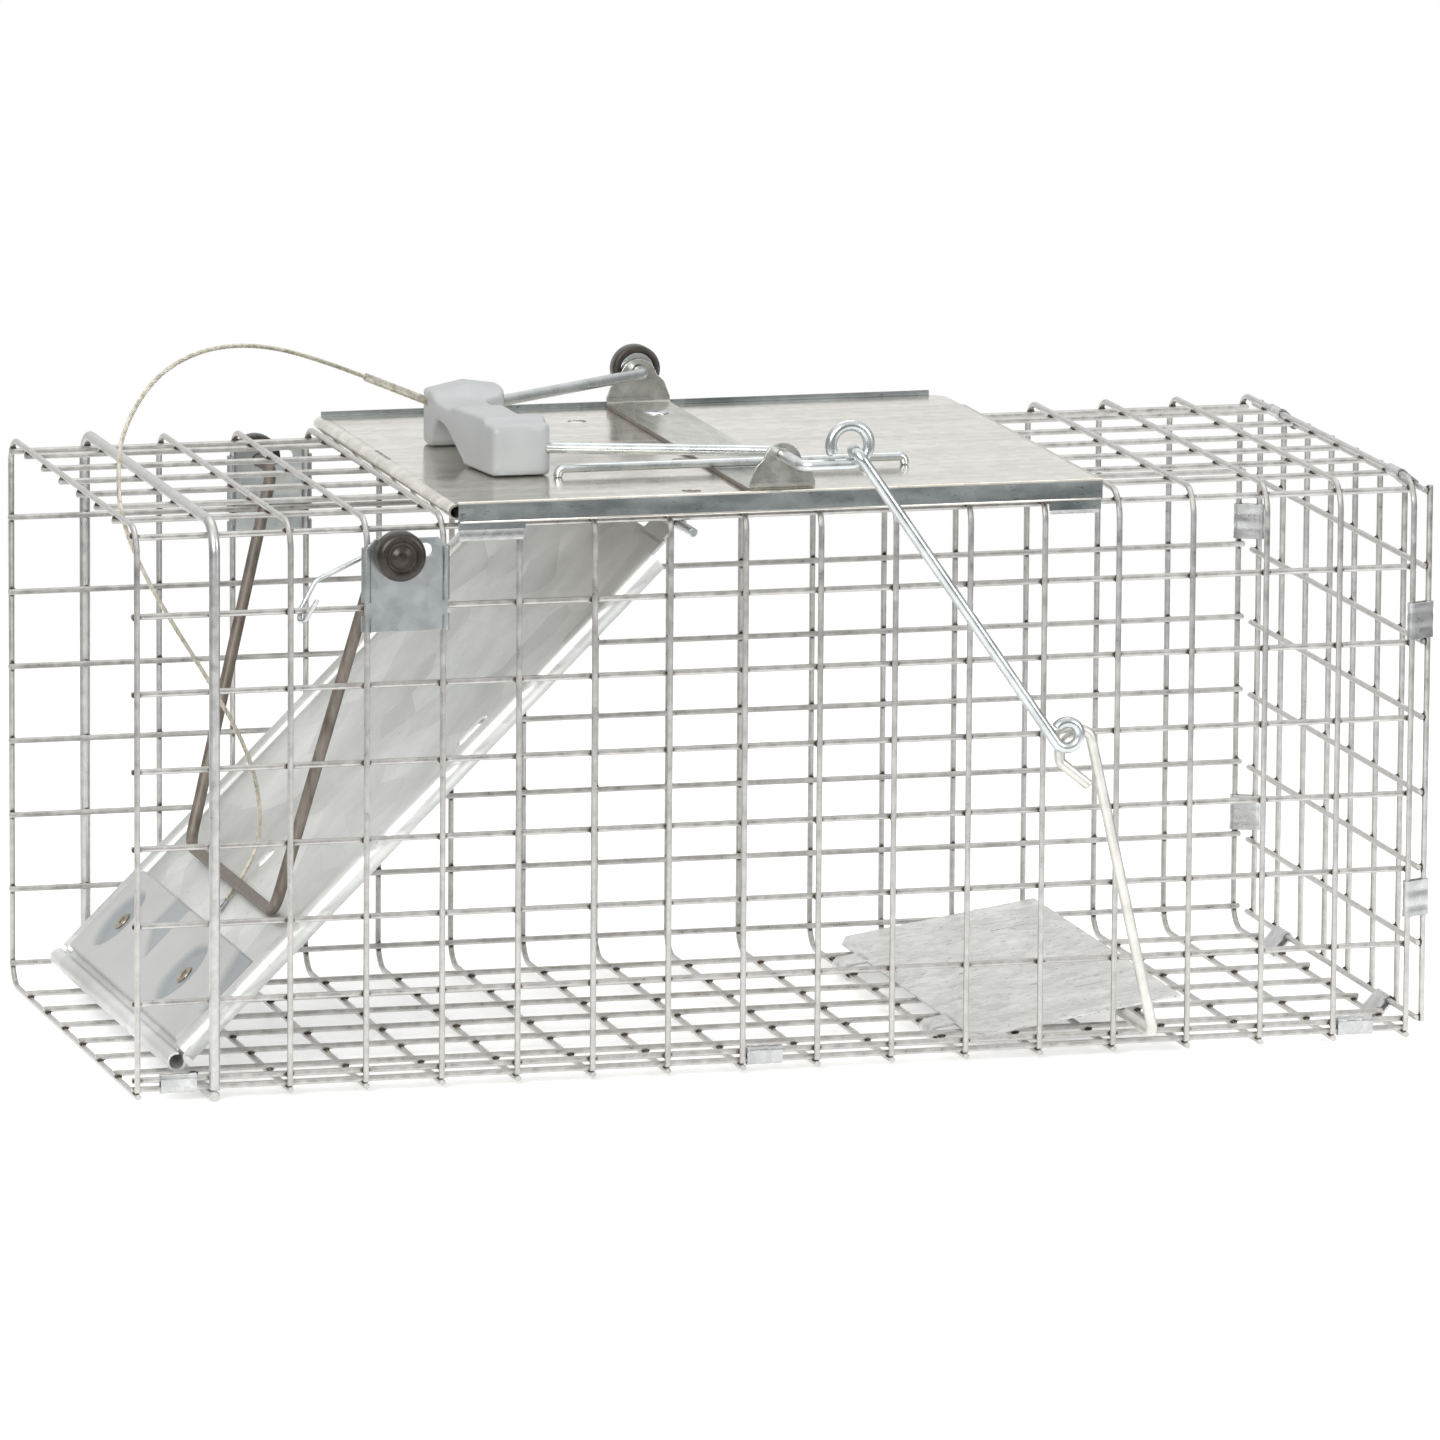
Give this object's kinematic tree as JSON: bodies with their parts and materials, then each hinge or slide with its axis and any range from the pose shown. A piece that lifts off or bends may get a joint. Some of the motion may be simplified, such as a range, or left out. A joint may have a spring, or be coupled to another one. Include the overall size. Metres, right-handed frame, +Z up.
{
  "type": "live catch trap",
  "caption": "Welded wire box trap for small animals with a sloping drop door, gravity lock bar, lever handle with pull cable, trigger linkage and treadle",
  "frame": {"origin": "under the middle of the trap's own box, at the level of the surface it stands on", "axes": "+X from the entrance towards the closed rear wall, +Y from the side with the trigger linkage to the other side, +Z up"},
  "size_m": [0.4416, 0.2288, 0.2363],
  "materials": {
    "galvanised_wire": "zinc-coated welded wire with dull weld spots",
    "galvanised_sheet": "bright rolled galvanised sheet",
    "spangled_sheet": "mottled galvanised sheet",
    "zinc_rod": "bright zinc-plated round wire",
    "raw_rod": "dull brown-grey drawn steel rod",
    "arm_rod": "pale matte galvanised rod",
    "grip_plastic": "fine moulded grey plastic",
    "cover_plastic": "moulded blue-grey plastic",
    "black_rubber": "matte black rubber",
    "cable_steel": "stranded steel cable"
  },
  "bodies": {
    "cage": {"floor_mesh": "galvanised_wire", "front_wall_mesh": "galvanised_wire", "back_wall_mesh": "galvanised_wire", "roof_mesh": "galvanised_wire", "mesh_corner_bends": "galvanised_wire", "entrance_hoop": "galvanised_wire", "rear_wall_mesh": "galvanised_wire", "seam_clips": "galvanised_sheet", "rear_wall_clips": "galvanised_sheet", "top_plate": "galvanised_sheet", "ear_bracket": "galvanised_sheet", "bracket_rivets": "zinc_rod", "plate_rail": "zinc_rod", "side_bracket_front": "galvanised_sheet", "side_bracket_back": "galvanised_sheet", "door_hinge_rod": "zinc_rod", "lock_spring": "zinc_rod", "pull_cable_upper": "cable_steel", "pull_cable_lower": "cable_steel"},
    "door": {"door_plate": "galvanised_sheet", "door_toe_cover": "cover_plastic", "door_rivets": "zinc_rod", "cable_stop": "zinc_rod"},
    "lock_bar": {"lock_bar": "raw_rod", "lock_bar_caps": "black_rubber", "lock_bar_push_nuts": "zinc_rod"},
    "handle": {"handle_bail": "zinc_rod", "handle_grip": "grip_plastic", "bail_end_cap": "black_rubber", "bail_push_nut": "zinc_rod", "cable_sleeve": "cable_steel"},
    "trigger_rod": {"trigger_rod": "zinc_rod"},
    "treadle": {"treadle_pan": "spangled_sheet"},
    "trigger_arm": {"trigger_arm": "arm_rod"}
  },
  "joints": [
    {"name": "handle_pivot", "type": "hinge", "parent": "cage", "child": "handle", "pos_m": [-0.00376, 0.00727, 0.2054], "axis": [0, 1, 0], "range_deg": [0, 172], "deforming": ["pull_cable_upper"]},
    {"name": "door_hinge", "type": "hinge", "parent": "cage", "child": "door", "pos_m": [-0.03426, 0.00927, 0.1811], "axis": [0, 1, 0], "range_deg": [0, 38], "deforming": ["pull_cable_lower"]},
    {"name": "lock_bar_pivot", "type": "hinge", "parent": "cage", "child": "lock_bar", "pos_m": [-0.13376, 0.00927, 0.1781], "axis": [0, 1, 0], "range_deg": [0, 69.2]},
    {"name": "trigger_rod_pivot", "type": "hinge", "parent": "handle", "child": "trigger_rod", "pos_m": [0.01224, -0.10823, 0.2118], "axis": [0, 1, 0], "range_deg": [-172, 0]},
    {"name": "treadle_tilt", "type": "hinge", "parent": "cage", "child": "treadle", "pos_m": [0.06014, 0.00777, 0.0034], "axis": [0, -1, 0], "range_deg": [0, 6]},
    {"name": "trigger_arm_pivot", "type": "hinge", "parent": "treadle", "child": "trigger_arm", "pos_m": [0.11774, -0.00573, 0.01215], "axis": [0, 1, 0], "range_deg": [-19.3, 0]}
  ],
  "couplings": [
    {"joint": "door_hinge", "follows": "handle_pivot", "ratio": 0.2209},
    {"joint": "lock_bar_pivot", "follows": "handle_pivot", "ratio": 0.402},
    {"joint": "trigger_rod_pivot", "follows": "handle_pivot", "ratio": -1},
    {"joint": "trigger_arm_pivot", "follows": "handle_pivot", "ratio": -0.112}
  ]
}
